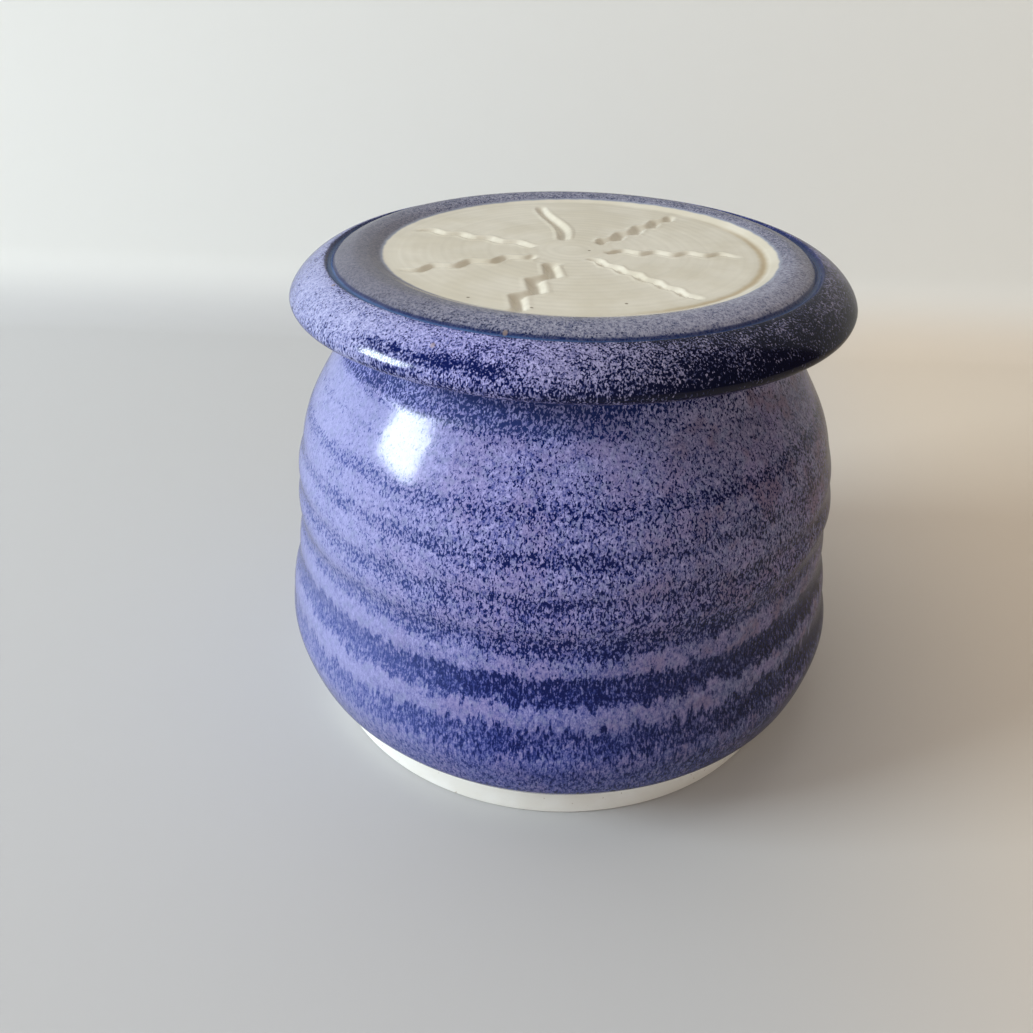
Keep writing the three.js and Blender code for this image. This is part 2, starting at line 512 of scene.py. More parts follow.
def made_real(source, name):
    """Turns a piece with trees on it into a plain mesh of its own."""
    bpy.context.view_layer.update()
    evaluated = source.evaluated_get(bpy.context.evaluated_depsgraph_get())
    mesh = bpy.data.meshes.new_from_object(evaluated)
    mesh.name = name
    piece = bpy.data.objects.new(name, mesh)
    scene.collection.objects.link(piece)
    bpy.data.objects.remove(source)
    return piece


def with_finish(points, ridge_share, finish):
    """Profile points that all have the same share of the ridges and the same finish."""
    return [(*point[:2], ridge_share, finish) for point in points]


def smooth_share(value, low, high):
    """0 below low, 1 above high, and a smooth slope from one to the other."""
    share = min(1, max(0, (value - low) / (high - low)))
    return share * share * (3 - 2 * share)


clay_finish, outer_finish, liner_finish = 0, 1, 2
rim_centre_height = jar_height - jar_wall / 2
wall_foot = (foot_band_radius + glaze_thickness, foot_band_height + glaze_thickness)
outline = curve_through(
    [wall_foot]
    + [
        (
            neck_radius + (belly_radius - neck_radius) * out,
            foot_band_height + (jar_height - foot_band_height) * up,
        )
        for up, out in jar_outline_shares
    ]
    + [(rim_radius, rim_centre_height)],
    wall_spacing,
)
ring_inner = foot_radius - foot_ring_width
recess_edge = (ring_inner - recess_slope, foot_recess_depth)
bevel_top = (ring_inner - 0.2, foot_bevel)
bevel_foot = (ring_inner + foot_bevel, 0)
foot = (
    [(0, foot_recess_depth)]
    + line((0, foot_recess_depth), recess_edge, 16)
    + line(recess_edge, bevel_top, 4)
    + line(bevel_top, bevel_foot, 1)
    + line(bevel_foot, (foot_radius - foot_edge_round, 0), 6)
    + arc(
        (foot_radius - foot_edge_round, foot_edge_round),
        (foot_edge_round, foot_edge_round),
        -0.25,
        0,
        5,
    )[1:]
    + line((foot_radius, foot_edge_round), (foot_band_radius, foot_band_height - 0.2), 9)
)
glaze_edge = arc(
    (foot_band_radius, foot_band_height + glaze_thickness),
    (glaze_thickness, glaze_thickness),
    -0.25,
    0,
    5,
)[:-1]
inner_wall = [
    (point[0] - jar_wall, point[1])
    for point in reversed(outline[::2])
    if jar_floor_top + floor_corner_radius < point[1] < rim_centre_height - 0.5
]
rim = arc(
    (rim_radius - jar_wall / 2, rim_centre_height), (jar_wall / 2, jar_wall / 2), 0, 0.5, 16
)[1:]
corner_centre = (inner_wall[-1][0] - floor_corner_radius, jar_floor_top + floor_corner_radius)
corner = arc(corner_centre, (floor_corner_radius, floor_corner_radius), 0, -0.25, 12)
jar_points = (
    with_finish(foot, 0, clay_finish)
    + with_finish(glaze_edge, 0, outer_finish)
    + [
        (
            *point,
            smooth_share(point[1], *ridges_start) * (1 - smooth_share(point[1], *ridges_end)),
            outer_finish,
        )
        for point in outline
    ]
    + with_finish(rim, 0, outer_finish)
    + with_finish(inner_wall, inner_ridge_share, liner_finish)
    + with_finish(corner, inner_ridge_share, liner_finish)
    + with_finish(line(corner[-1], (0, jar_floor_top), 24), 0, liner_finish)
)


def object_place(tree):
    """Object coordinates in millimetres."""
    coordinates = add_node(tree, "ShaderNodeTexCoord", output="Object")
    inputs = {0: coordinates, 1: (1 / MM,) * 3}
    return add_node(tree, "ShaderNodeVectorMath", inputs, operation="MULTIPLY")


def round_the_axis(place):
    """A place's height and radius in millimetres, and its angle about the axis in turns."""
    x, y, z = (place.node("ShaderNodeSeparateXYZ", {0: place}, axis) for axis in "XYZ")
    return z, (x * x + y * y).math("SQRT"), y.math("ARCTAN2", x) / TURN


def facing(angle, direction, low, high):
    """How far a side of the pot faces a direction, from 0 to 1. Low and high are cosines."""
    return (angle * TURN - direction).math("COSINE").between(low, high)


def varied(height, at_foot, *changes):
    """A value at each height: what it is at the foot, and where and by how much it changes."""
    value = at_foot
    for low, high, change in changes:
        value = height.between(low, high) * change + value
    return value


def noise(place, scale, detail=2, roughness=0.5, stretch=(1, 1, 1)):
    """Fractal noise over a place in millimetres; stretch above 1 makes it finer along that axis."""
    stretched = place.node("ShaderNodeVectorMath", {0: place, 1: stretch}, operation="MULTIPLY")
    inputs = {"Vector": stretched, "Scale": scale, "Detail": detail, "Roughness": roughness}
    return place.node("ShaderNodeTexNoise", inputs)


def relief(tree, shader, height, depth, distance=0.1):
    """Bump on a shader; depth is how strongly it shows and distance its height in millimetres."""
    inputs = {"Height": height, "Strength": depth, "Distance": distance * MM}
    bump = add_node(tree, "ShaderNodeBump", inputs, "Normal")
    tree.links.new(bump.socket, shader.inputs["Normal"])


# Lavender glaze: light where it lies thin on the ridges, and broken into navy specks where it pools.
# Each stop is how deep the glaze lies and its colour. The shaded side stops are painted shade: the same
# glaze painted darker and greyer for the side that faces the room.
glaze_gloss = 0.14
glaze_ior = 1.36
glaze_stops = (
    (0, (0.5, 0.495, 0.86, 1)),
    (0.2, (0.365, 0.353, 0.69, 1)),
    (0.38, (0.228, 0.223, 0.487, 1)),
    (0.53, (0.09, 0.105, 0.35, 1)),
    (0.66, (0.02, 0.034, 0.2, 1)),
    (0.8, (0.003, 0.008, 0.085, 1)),
)
shaded_side_stops = (
    (0, (0.31, 0.283, 0.388, 1)),
    (0.28, (0.212, 0.193, 0.271, 1)),
    (0.42, (0.122, 0.118, 0.188, 1)),
    (0.55, (0.045, 0.048, 0.095, 1)),
    (0.68, (0.016, 0.019, 0.045, 1)),
    (0.82, (0.002, 0.003, 0.01, 1)),
)
# Painted window light: the side toward the window is painted lighter and bluer, on the ground and in
# the specks.
painted_window_light = (0.25, 0.285, 0.46, 1)
painted_window_light_in_specks = (0.06, 0.1, 0.35, 1)
violet_cloud = (0.28, 0.222, 0.43, 1)
iron_blush = (0.17, 0.1, 0.13, 1)
blue_ash = (0.2, 0.24, 0.4, 1)
neck_pool_and_shade_blue = (0.02, 0.06, 0.3, 1)
thin_glaze = (0.33, 0.35, 0.42, 1)
cream = (0.66, 0.61, 0.49, 1)
clouded_cream = (0.6, 0.545, 0.43, 1)
cream_fleck = (0.16, 0.1, 0.05, 1)
clay = (0.94, 0.93, 0.885, 1)
clouded_clay = (0.89, 0.87, 0.81, 1)
clay_fleck = (0.3, 0.2, 0.12, 1)
# Sides of the pot: the direction from the axis, in radians from +X
window_side = -2.88
room_side = -0.35
hazy_side = -2.27
neck_start = (84, 87)


def ramp(share, stops):
    """A smooth run of colours; each stop is (place, colour)."""
    node = share.tree.nodes.new("ShaderNodeValToRGB")
    elements = node.color_ramp.elements
    while len(elements) < len(stops):
        elements.new(0.5)
    for element, (position, color) in zip(elements, stops):
        element.position, element.color = position, color
    share.tree.links.new(share.socket, node.inputs["Fac"])
    return Wire(share.tree, node.outputs["Color"])


def speckled(place, level, thickness, streak, soft, grain=2.45):
    """How deep the glaze lies, from 0 where it is thin to 1 where it pools: specks on a mottled ground.

    Level is how far the specks cover it and thickness how deep the ground lies; streak is how far the
    specks run down and soft how far they blur."""
    specks = noise(place, grain, 2, 0.6, (1, 1, 0.5))
    runs = noise(place, grain, 2, 0.6, (1, 1, 0.2))
    lowest = 0.605 - (level - 0.3) * 0.33 - soft * 0.03
    speck = (specks + (runs - specks) * streak - lowest).between(0, 0.06 + soft * 0.06)
    mottle = noise(place, grain * 0.6, 2, 0.75, (1, 1, 0.55)) - 0.5
    dust = noise(place, grain * 1.7, 1, 0.5, (1, 1, 0.6)) - 0.5
    ground = thickness + level * 0.3 - (mottle * 1.2 + dust * 0.55) * (1 - soft * 0.4)
    return (ground + speck * (0.53 - soft * 0.33)).clamped()


def jar_glaze():
    """The jar's outside: specks that pool in the grooves, a deep coat at the neck that is partly
    painted shade under the lid, painted window light and room-side shade, and a bare foot.
    """
    material, tree, shader = new_material("lavender_glaze", glaze_gloss, IOR=glaze_ior)
    place = object_place(tree)
    height, radius, angle = round_the_axis(place)
    wander = noise(place, 0.028, 1) - 0.5
    drips = noise(place, 0.7, 2, 0.6, (1, 1, 0.06)) - 0.5
    patches = noise(place, 0.09, 3, 0.6, (1, 1, 1.6)) - 0.5
    blotches = noise(place, 0.35, 2, 0.6) - 0.5
    neck = height.between(*neck_start)
    left = facing(angle, window_side, 0.35, 1) * (1 - neck)
    room_side_shade = facing(angle, room_side, 0.35, 1)

    # bands follow the spiral groove; lower down they are broader, and their edges run
    streak = 1 - height.between(30, 62)
    pitches = (height - first_groove) / ridge_pitch
    turns = pitches * (1 + ridge_tightening * pitches) - angle - 0.25 + wander * 0.35
    groove = ((turns + drips * (streak * 0.6 + 0.2)) * TURN).math("COSINE") * 0.5 + 0.5
    broad = height.between(31, 35) * (1 - height.between(41, 46))
    band = groove + broad * 0.14 - height.between(44, 64) * 0.3 + patches * 0.3
    band = band.between(0.2, 0.65) * (1 - height.between(79, 82))

    # how far the specks cover the ridges, the grooves, the run-off above the foot, and the neck, where
    # the dark cover is partly pooled glaze and partly painted shade under the lid's lip
    on_ridge = varied(height, 0.34, (36, 44, 0.1), (47, 54, 0.16), (56, 62, -0.09), (72, 84, -0.12))
    in_groove = varied(height, 0.76, (42, 49, -0.07), (52, 58, -0.05), (66, 76, -0.02))
    in_groove = in_groove + height.bump_at(39, 6) * 0.07
    low = 1 - height.between(19, 30)
    low_level = varied(height, 0.6, (14, 27, 0.08))
    neck_level = varied(height, 0.74, (88, 92, 0.12))
    level = on_ridge + band * (in_groove - on_ridge)
    level = level + low * (low_level - level) + neck * (neck_level - level)
    level = level + room_side_shade * (0.04 - neck * 0.3) + patches * 0.35 + blotches * 0.4
    # painted window light: the side toward the window gets fewer specks and a lighter glaze
    level = level - left * (0.2 - band * 0.15 - height.between(28, 40) * 0.06)
    thickness = varied(height, 0.335, (31, 38, -0.015), (34, 62, -0.1), (*neck_start, -0.075))
    soft = (streak * 0.95 + low * 0.15 + room_side_shade * 0.5 + left * 0.4).clamped()
    depth = speckled(place, level, thickness, streak * 0.8, soft)
    depth = depth * (1 - left * 0.24) + (depth - 0.55) * neck * 0.4

    # painted shade: the side that faces the room takes the darker, greyer stops
    color = mix(room_side_shade * 0.75, ramp(depth, glaze_stops), ramp(depth, shaded_side_stops))
    # painted window light on the window side
    color = mix(left * (1 - depth) * 0.6, color, painted_window_light)
    color = mix(left * depth.between(0.5, 0.8) * 0.5, color, painted_window_light_in_specks)
    light = 1 - depth.between(0.3, 0.72)
    cloud = noise(place, 0.11, 2).between(0.45, 0.65) * (1 - left)
    color = mix(cloud * light * 0.42, color, violet_cloud)
    blush = noise(place, 0.17, 2).between(0.5, 0.64) * room_side_shade * light
    color = mix(blush * 0.5, color, iron_blush)
    ash = noise(place, 0.6, 2).between(0.5, 0.66) * light
    color = mix(ash * 0.36, color, blue_ash)
    # the neck is painted a deeper blue: partly pooled glaze, partly painted shade under the lid's lip
    color = mix(neck * (1 - room_side_shade) * 0.28, color, neck_pool_and_shade_blue)

    # where the glaze ends: a thin edge above the bare foot, and cream from inside over the rim
    waver = noise(place, 0.12, 2) - 0.5
    above_foot = height + waver * 1.2 - foot_band_height
    color = mix(1 - above_foot.between(0.2, 1.3), color, thin_glaze)
    color = mix(1 - above_foot.between(-0.3, 0.5), color, clay)
    inner_lip = (1 - (radius + waver * 1.4).between(42.4, 43.2)) * height.between(86, 88)
    color = mix(inner_lip, color, cream)
    tree.links.new(color.socket, shader.inputs["Base Color"])
    haze = height.between(85, 87) * facing(angle, hazy_side, 0.62, 0.86)
    roughness = haze * 0.56 + glaze_gloss
    tree.links.new(roughness.socket, shader.inputs["Roughness"])
    relief(tree, shader, noise(place, 0.5, 2) - depth * 0.25, 0.3, 0.08)
    return material


def cream_glaze(name):
    """The liner: a glossy cream glaze, a little clouded, with a few iron flecks."""
    material, tree, shader = new_material(name, 0.22, IOR=1.5)
    place = object_place(tree)
    cloud = noise(place, 0.08, 3)
    color = mix(cloud.between(0.35, 0.65), cream, clouded_cream)
    fleck = noise(place, 0.55, 1).between(0.77, 0.79)
    color = mix(fleck * 0.8, color, cream_fleck)
    tree.links.new(color.socket, shader.inputs["Base Color"])
    relief(tree, shader, noise(place, 0.45, 3), 0.3, 0.1)
    return material


def bare_clay():
    """Fired stoneware without glaze: matt and pale, with fine rings from the trimming tool."""
    material, tree, shader = new_material("bare_clay", 0.62, Specular_IOR_Level=0.35)
    place = object_place(tree)
    cloud = noise(place, 0.12, 3)
    color = mix(cloud.between(0.35, 0.7), clay, clouded_clay)
    fleck = noise(place, 1.1, 1).between(0.74, 0.77)
    color = mix(fleck * 0.6, color, clay_fleck)
    tree.links.new(color.socket, shader.inputs["Base Color"])
    grain = noise(place, 2.2, 3)
    trimming = noise(place, 0.8, 1, 0.5, (0.02, 0.02, 2))
    relief(tree, shader, grain * 0.5 + trimming, 0.4, 0.08)
    return material


clay_material = bare_clay()
liner_material = cream_glaze("cream_liner")
jar_tree = turning_tree()
jar_source = profile_piece("jar", jar_points)
add_tree(
    jar_source,
    jar_tree,
    segments=jar_segments,
    ridge_pitch=ridge_pitch * MM,
    ridge_tightening=ridge_tightening,
    ridge_height=ridge_height * MM,
    first_groove=first_groove * MM,
    unevenness=hand_unevenness * MM,
    seed=3.0,
    first_finish=clay_material,
    second_finish=jar_glaze(),
    third_finish=liner_material,
)
jar = made_real(jar_source, "glazed_jar")
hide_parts("crock_jar")
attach(jar, "crock")


# Lid
# Thrown as a thick plate with a rolled lip, then trimmed: a groove, a crowned ring and a sunk disc, in
# which seven wavy rays were cut while damp. Lip and ring are lavender, the disc cream, the seat bare.
lid_radius = 57.5
lid_seat = 96
lip_edge_height = 98.3
lip_under_width = 2.6
lip_band_width = 7.4
lip_band_top = 104.4
lip_slope = 1.36
lip_droop = 0.9
lip_droop_turn = 0.42
groove_width = 2
groove_depth = 0.75
crown_crest = 105.75
crown_inner_radius = 40.9
crown_edge_height = 105.2
disc_radius = 38.6
disc_height = 104.5
lid_segments = 512
lip_steps = 26
groove_steps = 10
groove_softness = 1.6
crown_spacing = 0.46
disc_steps = 84
seat_ring = (41.5, 49.5)
liner_gap = 0.02  # the liner stops this far short of the seat, so that no broad face lies between them
bell_inner_radius = 32.6
ceiling_rise = 2
groove_outer_radius = lid_radius - lip_band_width
groove_inner_radius = groove_outer_radius - groove_width
lip_rise = lip_band_top - lip_edge_height
ray_centre = (-1.0, -0.75)
first_ray_turn = 0.287
ray_burr = 0.1
wheel_ring_pitch = 1.9
wheel_ring_height = 0.012
dent_depth = 0.35
# The rays, clockwise from the back. Each: how far it is turned from its even place (degrees), its drift
# aside on the way out, where it starts and ends, its waves, the turn they start at, their swing and
# lean, and the width and depth of the cut.
rays = (
    (-3.8, 0, 7.8, 35.5, 0.8, -0.45, 1.3, 0, 3.3, 0.8),
    (-3.2, 2.4, 9, 38, 4.3, 0, 0.66, -0.4, 3.5, 0.85),
    (-0.4, 0, 8.5, 35, 4, -0.2, 0.8, 0, 3, 0.8),
    (2.7, 0, 7.6, 37, 5.5, 0, 0.5, 0, 2.6, 0.7),
    (-0.8, -1.2, 9.6, 38.5, 3, -0.44, 1.3, -0.5, 3.8, 0.95),
    (3.8, -1.4, 8.5, 36, 3.6, 0.1, 0.95, 0, 3.2, 0.8),
    (5.5, 0, 7.7, 35, 4.1, 0.2, 0.62, 0, 3.2, 0.75),
)


def tool_marks():
    """One point for each ray, which holds how the potter's tool cut it."""
    mesh = bpy.data.meshes.new("tool_marks")
    mesh.from_pydata([(0, 0, 0)] * len(rays), [], [])
    columns = (
        ("turned", TURN / 360),
        ("drift", MM),
        ("start", MM),
        ("end", MM),
        ("waves", 1),
        ("first_wave", 1),
        ("swing", MM),
        ("lean", 1),
        ("width", MM),
        ("depth", MM),
    )
    for column, (name, unit) in enumerate(columns):
        values = mesh.attributes.new(name, "FLOAT", "POINT")
        values.data.foreach_set("value", [float(ray[column] * unit) for ray in rays])
    marks = bpy.data.objects.new("tool_marks", mesh)
    scene.collection.objects.link(marks)
    return marks


def carving_tree():
    """Wavy rays cut round a centre with a loop tool, and the sunk disc that is then glazed.

    Each point finds its nearest ray, and how far along that ray and aside of it the point lies."""
    tree = bpy.data.node_groups.new("carve_rays", "GeometryNodeTree")
    ports = tree.interface
    ports.new_socket("Geometry", in_out="OUTPUT", socket_type="NodeSocketGeometry")
    ports.new_socket("Geometry", in_out="INPUT", socket_type="NodeSocketGeometry")
    ports.new_socket("Centre", in_out="INPUT", socket_type="NodeSocketVector")
    ports.new_socket("Tool Marks", in_out="INPUT", socket_type="NodeSocketObject")
    for name in (
        "Ray Count",
        "First Turn",
        "Burr",
        "Disc Radius",
        "Disc Height",
        "Droop",
        "Droop Turn",
        "Lip Radius",
    ):
        ports.new_socket(name, in_out="INPUT", socket_type="NodeSocketFloat")
    ports.new_socket("Disc Finish", in_out="INPUT", socket_type="NodeSocketMaterial")
    entry = tree.nodes.new("NodeGroupInput")
    given = {socket.name: Wire(tree, socket) for socket in entry.outputs if socket.name}

    place = add_node(tree, "GeometryNodeInputPosition")
    x, y, z = (add_node(tree, "ShaderNodeSeparateXYZ", {0: place}, axis) for axis in "XYZ")
    radius = (x * x + y * y).math("SQRT")
    angle = y.math("ARCTAN2", x)
    margin = 0.3 * MM
    on_disc = z.math("GREATER_THAN", given["Disc Height"] - margin)
    on_disc = on_disc * (1 - radius.between(given["Disc Radius"] - margin, given["Disc Radius"]))
    moved = add_node(
        tree, "ShaderNodeVectorMath", {0: place, 1: given["Centre"]}, operation="SUBTRACT"
    )
    x, y = (add_node(tree, "ShaderNodeSeparateXYZ", {0: moved}, axis) for axis in "XY")
    reach = (x * x + y * y).math("SQRT")
    count = given["Ray Count"]
    turns_past_first = (given["First Turn"] - y.math("ARCTAN2", x) / TURN) * count
    ray = turns_past_first.math("ROUND")
    marks = add_node(tree, "GeometryNodeObjectInfo", {"Object": given["Tool Marks"]}, "Geometry")
    number = ray.math("FLOORED_MODULO", count)

    def of_ray(name):
        """What the tool marks say about the nearest ray."""
        value = add_node(tree, "GeometryNodeInputNamedAttribute", {"Name": name}, data_type="FLOAT")
        inputs = {"Geometry": marks, "Value": value, "Index": number}
        return add_node(tree, "GeometryNodeSampleIndex", inputs, data_type="FLOAT")

    off_ray = (turns_past_first - ray) / count * TURN + of_ray("turned")
    along = off_ray.math("COSINE") * reach
    aside = -(off_ray.math("SINE")) * reach
    start = of_ray("start")
    share = (along - start) / (of_ray("end") - start)
    wave = (of_ray("waves") * share + of_ray("first_wave")) * TURN
    # the tool's push and turn make a rounded zigzag rather than an even wave
    wave = wave + wave.math("SINE") * of_ray("lean")
    zigzag = wave.math("SINE") * 0.75 + wave.math("SINE").math("ARCSINE") * 0.16
    distance = (aside - zigzag * of_ray("swing") - of_ray("drift") * (share - 0.5)).math("ABSOLUTE")
    distance = distance / (of_ray("width") / 2 * (0.8 + share.bump_at(0.4, 0.7) * 0.25))
    ends = share.between(-0.04, 0.04) * (1 - share.between(0.88, 1.02))
    cut = 1 - distance.between(0.05, 1)
    burr = distance.bump_at(1.12, 0.5)
    bite = of_ray("depth") * (1 + wave.math("COSINE") * 0.25)
    drop = (cut * bite - burr * given["Burr"]) * ends * on_disc
    rings = (radius / (wheel_ring_pitch * MM) * TURN).math("SINE") * wheel_ring_height * MM
    noise_inputs = {"Vector": place, "Scale": 90, "Detail": 2}
    dents = (add_node(tree, "ShaderNodeTexNoise", noise_inputs) - 0.5) * dent_depth * MM
    low_side = (angle - given["Droop Turn"] * TURN).math("COSINE").between(0.1, 1)
    droop = low_side * radius.between(given["Disc Radius"], given["Lip Radius"]) * given["Droop"]
    lift = (rings + dents) * on_disc - drop - droop
    offset = add_node(tree, "ShaderNodeCombineXYZ", {"Z": lift})
    carved = add_node(
        tree, "GeometryNodeSetPosition", {"Geometry": given["Geometry"], "Offset": offset}
    )
    kept = add_node(
        tree,
        "GeometryNodeStoreNamedAttribute",
        {"Geometry": carved, "Name": "carved", "Value": cut * ends * on_disc},
        data_type="FLOAT",
        domain="POINT",
    )
    real = add_node(tree, "GeometryNodeRealizeInstances", {"Geometry": kept})
    inside = add_node(
        tree,
        "FunctionNodeCompare",
        {0: radius, 1: given["Disc Radius"] + 1.2 * MM},
        operation="LESS_THAN",
    )
    above = add_node(
        tree,
        "FunctionNodeCompare",
        {0: z, 1: given["Disc Height"] - 3 * MM},
        operation="GREATER_THAN",
    )
    both = add_node(tree, "FunctionNodeBooleanMath", {0: inside, 1: above}, operation="AND")
    glazed = add_node(
        tree,
        "GeometryNodeSetMaterial",
        {"Geometry": real, "Selection": both, "Material": given["Disc Finish"]},
    )
    leave = tree.nodes.new("NodeGroupOutput")
    tree.links.new(glazed.socket, leave.inputs["Geometry"])
    return tree


# Where single specks lie, from the axis to the right and to the back
iron_specks = ((3.5, -0.5), (-18, -31.5), (-6.5, -35.5), (10, -31.5))
tan_flecks = ((-21.8, -49.5), (-10.2, -47.2), (-43.5, -26.1))
# Sides of the lid, in radians from +X
lid_room_side = -0.75
lid_front = -1.57
pool_side = -2
shining_side = -2.3
crown_stops = (
    (0, (0.33, 0.33, 0.41, 1)),
    (0.28, (0.22, 0.22, 0.295, 1)),
    (0.42, (0.155, 0.16, 0.24, 1)),
    (0.55, (0.08, 0.09, 0.165, 1)),
    (0.68, (0.035, 0.045, 0.1, 1)),
    (0.82, (0.008, 0.014, 0.05, 1)),
)
# Painted window light on the lip, and painted shade on the crown's window side
painted_lip_window_light = (0.34, 0.39, 0.455, 1)
painted_crown_window_shade = (0.138, 0.132, 0.165, 1)
groove_navy = (0.01, 0.02, 0.09, 1)
groove_pool_and_sheen = (0.06, 0.12, 0.28, 1)
thin_edge = (0.27, 0.29, 0.37, 1)
disc_cream = (0.68, 0.635, 0.54, 1)
disc_clouds = (0.62, 0.57, 0.465, 1)
disc_rings = (0.56, 0.52, 0.43, 1)
pooled_and_shaded_in_rays = (0.5, 0.39, 0.24, 1)
pooled_and_shaded_in_corner = (0.36, 0.25, 0.11, 1)
iron = (0.1, 0.065, 0.035, 1)
tan = (0.33, 0.24, 0.19, 1)


def speck_at(place, spot, inner, outer):
    """1 on a round speck about a spot and 0 off it; inner and outer are radii squared."""
    x, y = (place.node("ShaderNodeSeparateXYZ", {0: place}, axis) for axis in "XY")
    distance = (x - spot[0]) * (x - spot[0]) + (y - spot[1]) * (y - spot[1])
    return 1 - distance.between(inner, outer)


def lid_glaze(name, roughness):
    """The lid's glazes on one face: lavender on the lip and the ring, and cream in the sunk disc."""
    material, tree, shader = new_material(name, roughness, IOR=glaze_ior)
    place = object_place(tree)
    height, radius, angle = round_the_axis(place)
    patches = noise(place, 0.09, 3, 0.6) - 0.5
    blotches = noise(place, 0.32, 2, 0.6) - 0.5
    waver = noise(place, 0.35, 2) - 0.5
    on_top = height.between(98.5, 100)
    on_crown = 1 - radius.between(groove_inner_radius, groove_outer_radius)
    on_lip = 1 - on_crown
    groove_centre = groove_outer_radius - groove_width / 2
    left = facing(angle, window_side, 0.4, 1)
    right = facing(angle, lid_room_side, 0.68, 1)
    front = facing(angle, lid_front, 0.9, 1) * on_lip

    # how far the specks cover the lip's edge, the groove's borders and the sides of the lip; the room
    # side's denser cover is partly specks and partly painted shade, and the window side's thinner cover
    # on the lip is painted light
    edge = 1 - height.between(97.5, 102)
    fringe = (radius + waver * 0.8).bump_at(groove_centre + 0.2, 2.4) * on_top
    pool = facing(angle, pool_side, 0.95, 0.99) * height.bump_at(101, 1.6)
    level = 0.4 - on_crown * 0.04 + edge * 0.2 + fringe * 0.3 + patches * 0.35 + blotches * 0.6
    # room side: denser specks, partly real and partly painted shade
    level = level + right * (0.43 - on_crown * 0.55 - height.between(101, 104) * 0.15)
    # window side of the lip: fewer specks, painted light
    level = level + front * 0.04 + pool * 0.4 + (0.1 - left * 0.16) * on_lip
    thickness = 0.2 + on_crown * 0.035 - front * 0.06
    depth = speckled(place, level, thickness, streak=0.0, soft=0.0, grain=2.8) * 1.22 - 0.092

    # painted shade: the side that faces the room takes the darker, greyer stops
    room_side_shade = facing(angle, lid_room_side, 0.3, 1)
    color = mix(room_side_shade * 0.9, ramp(depth, glaze_stops), ramp(depth, shaded_side_stops))
    # painted window light: the lip's window side is painted lighter and bluer
    color = mix(left * (1 - depth) * 0.5, color, painted_lip_window_light)
    # on the crown the window side is painted greyer and darker, as painted shade
    color = mix(on_crown, color, mix(left * 0.7, ramp(depth, crown_stops), painted_crown_window_shade))
    from_groove = (radius + waver * 0.25 - groove_centre).math("ABSOLUTE")
    color = mix((1 - from_groove.between(0.75, 1.15)) * on_top * 0.8, color, groove_navy)
    # the groove's centre is pooled, lighter blue glaze, painted lighter still toward the window side as
    # a painted sheen
    pool_and_sheen_share = facing(angle, shining_side, 0.4, 1) * 0.6 + 0.4
    color = mix((1 - from_groove.between(0.3, 0.65)) * pool_and_sheen_share * on_top, color, groove_pool_and_sheen)
    # the cream runs a little over the disc's edge on the right
    disc_edge = (angle * TURN).math("COSINE") * 1.35 + disc_radius + 1.3
    past_disc = radius + waver * 0.6 - disc_edge
    color = mix((1 - past_disc.between(0, 1)) * on_top, color, thin_edge)
    for spot in tan_flecks:
        color = mix(speck_at(place, spot, 0.03, 0.3) * on_top * 0.6, color, tan)

    cloud = noise(place, 0.09, 3)
    disc_color = mix(cloud.between(0.35, 0.65), disc_cream, disc_clouds)
    rings = noise(place.node("ShaderNodeCombineXYZ", {"X": radius}), 0.5, 2)
    disc_color = mix(rings.between(0.4, 0.7) * 0.3, disc_color, disc_rings)
    carved = add_node(tree, "ShaderNodeAttribute", output="Fac", attribute_name="carved")
    # the cuts are tinted brown: partly pooled amber glaze, partly painted shade in the cuts
    disc_color = mix(carved.between(0.3, 1) * 0.85, disc_color, pooled_and_shaded_in_rays)
    # an amber line in the disc's corner on the right: partly pooled glaze, partly painted shade in the
    # corner
    corner = (radius + waver * 0.6).bump_at(disc_radius - 0.2, 1.4)
    rightmost = 1 - (angle + 0.06).math("ABSOLUTE").between(0.06, 0.2)
    disc_color = mix(corner * rightmost * 0.7, disc_color, pooled_and_shaded_in_corner)
    for spot in iron_specks:
        disc_color = mix(speck_at(place, spot, 0.03, 0.16) * 0.75, disc_color, iron)
    color = mix((1 - past_disc.between(-0.3, 0.3)) * on_top, color, disc_color)
    tree.links.new(color.socket, shader.inputs["Base Color"])
    relief(tree, shader, noise(place, 0.5, 2) - depth * 0.05, 0.2, 0.08)
    return material


underside = (
    line((0, lid_seat + ceiling_rise), (bell_inner_radius - ceiling_rise, lid_seat + ceiling_rise), 9)
    + arc((bell_inner_radius - ceiling_rise, lid_seat), (ceiling_rise, ceiling_rise), 0.25, 0, 4)[1:]
)
under_lip = (
    line((seat_ring[1], lid_seat), (lid_radius - lip_under_width, lid_seat), 3)
    + arc(
        (lid_radius - lip_under_width, lip_edge_height),
        (lip_under_width, lip_edge_height - lid_seat),
        -0.25,
        0,
        9,
    )[1:]
)
lip = [
    (
        groove_outer_radius + lip_band_width * math.cos(TURN / 4 * step / lip_steps) ** lip_slope,
        lip_edge_height + lip_rise * math.sin(TURN / 4 * step / lip_steps) ** lip_slope,
    )
    for step in range(1, lip_steps)
] + [(groove_outer_radius, lip_band_top)]
groove = [
    (
        groove_outer_radius - groove_width * step / groove_steps,
        lip_band_top - groove_depth * math.sin(TURN / 2 * step / groove_steps) ** groove_softness,
    )
    for step in range(1, groove_steps + 1)
]
crown = curve_through(
    [
        (groove_inner_radius, lip_band_top),
        (groove_inner_radius - 0.9, lip_band_top + 0.62),
        ((groove_inner_radius + crown_inner_radius) / 2, crown_crest),
        (crown_inner_radius + 0.9, crown_edge_height + 0.25),
        (crown_inner_radius, crown_edge_height),
        (disc_radius + 0.35, disc_height + 0.05),
        (disc_radius, disc_height),
    ],
    crown_spacing,
)[1:]
disc = line((disc_radius, disc_height), (0, disc_height), disc_steps)
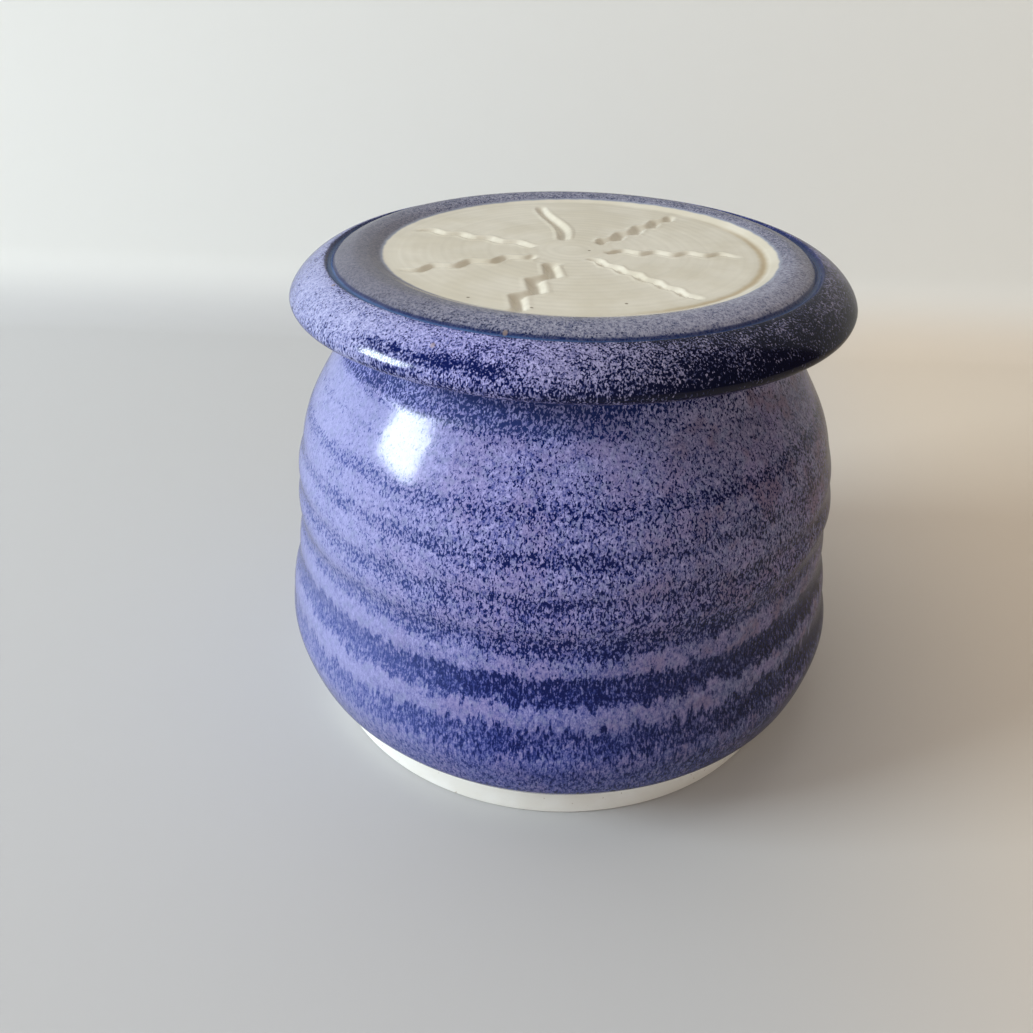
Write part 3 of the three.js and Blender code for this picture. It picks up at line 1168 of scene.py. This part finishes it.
lid_points = (
    [(0, lid_seat + ceiling_rise, 0, liner_finish)]
    + with_finish(underside, 0, liner_finish)
    + with_finish(line(underside[-1], (seat_ring[0] - liner_gap, lid_seat), 3), 0, liner_finish)
    + [(seat_ring[0], lid_seat, 0, clay_finish)]
    + with_finish(line((seat_ring[0], lid_seat), (seat_ring[1], lid_seat), 3), 0, clay_finish)
    + with_finish(under_lip + lip + groove + crown + disc, 0, outer_finish)
)
lid_source = profile_piece("lid", lid_points)
add_tree(
    lid_source,
    jar_tree,
    segments=lid_segments,
    ridge_pitch=ridge_pitch * MM,
    ridge_tightening=0.0,
    ridge_height=0.0,
    first_groove=0.0,
    unevenness=hand_unevenness * MM,
    seed=8.0,
    first_finish=clay_material,
    second_finish=lid_glaze("lavender_lid_glaze", glaze_gloss),
    third_finish=liner_material,
)
marks = tool_marks()
add_tree(
    lid_source,
    carving_tree(),
    centre=Vector((*ray_centre, 0)) * MM,
    tool_marks=marks,
    ray_count=float(len(rays)),
    first_turn=first_ray_turn,
    burr=ray_burr * MM,
    disc_radius=disc_radius * MM,
    disc_height=disc_height * MM,
    droop=lip_droop * MM,
    droop_turn=lip_droop_turn,
    lip_radius=lid_radius * MM,
    disc_finish=lid_glaze("cream_disc_glaze", 0.27),
)
lid = made_real(lid_source, "glazed_lid")
bpy.data.objects.remove(marks)
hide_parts("lid_plate")
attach(lid, "lid")


# Bell
# A small cup thrown on its own and joined to the lid's underside with slip before the firing, so that
# it hangs in the jar mouth down. It is glazed cream inside and out, because it holds the butter.
bell_wall = 4.6
bell_top_radius = 37.2
bell_swell = 0.6
bell_rim_height = 30
bell_segments = 160
bell_spacing = 0.8
joint_fillet = 1.4
bell_ridge_pitch = 7.5
bell_ridge_height = 0.12
bell_ridge_share = 0.8
bell_unevenness = 0.4
mouth_height = bell_rim_height + bell_wall / 2
bell_outside = curve_through(
    [
        (bell_top_radius, mouth_height),
        (bell_top_radius + bell_swell, (mouth_height + lid_seat) / 2),
        (bell_top_radius, lid_seat - 4 * joint_fillet),
        (bell_top_radius + 0.1, lid_seat - 2 * joint_fillet),
        (bell_top_radius + joint_fillet, lid_seat),
    ],
    bell_spacing,
)
bell_inside = curve_through(
    [
        (bell_top_radius - bell_wall, lid_seat),
        (bell_top_radius + bell_swell - bell_wall, (mouth_height + lid_seat) / 2),
        (bell_top_radius - bell_wall, mouth_height),
    ],
    bell_spacing,
)
mouth = arc((bell_top_radius - bell_wall / 2, mouth_height), (bell_wall / 2,) * 2, -0.5, 0, 12)
bell_points = (
    with_finish(mouth[:-1], 0, liner_finish)
    + with_finish(bell_outside, bell_ridge_share, liner_finish)
    + with_finish(line(bell_outside[-1], bell_inside[0], 4)[:-1], 0, liner_finish)
    + with_finish(bell_inside[:-1], bell_ridge_share, liner_finish)
    + with_finish(mouth[:1], 0, liner_finish)
)
bell_source = profile_piece("bell", bell_points)
add_tree(
    bell_source,
    jar_tree,
    segments=bell_segments,
    ridge_pitch=bell_ridge_pitch * MM,
    ridge_tightening=0.0,
    ridge_height=bell_ridge_height * MM,
    first_groove=bell_rim_height * MM,
    unevenness=bell_unevenness * MM,
    seed=15.0,
    first_finish=clay_material,
    second_finish=liner_material,
    third_finish=liner_material,
)
bell = made_real(bell_source, "glazed_bell")
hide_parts("butter_bell")
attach(bell, "lid")
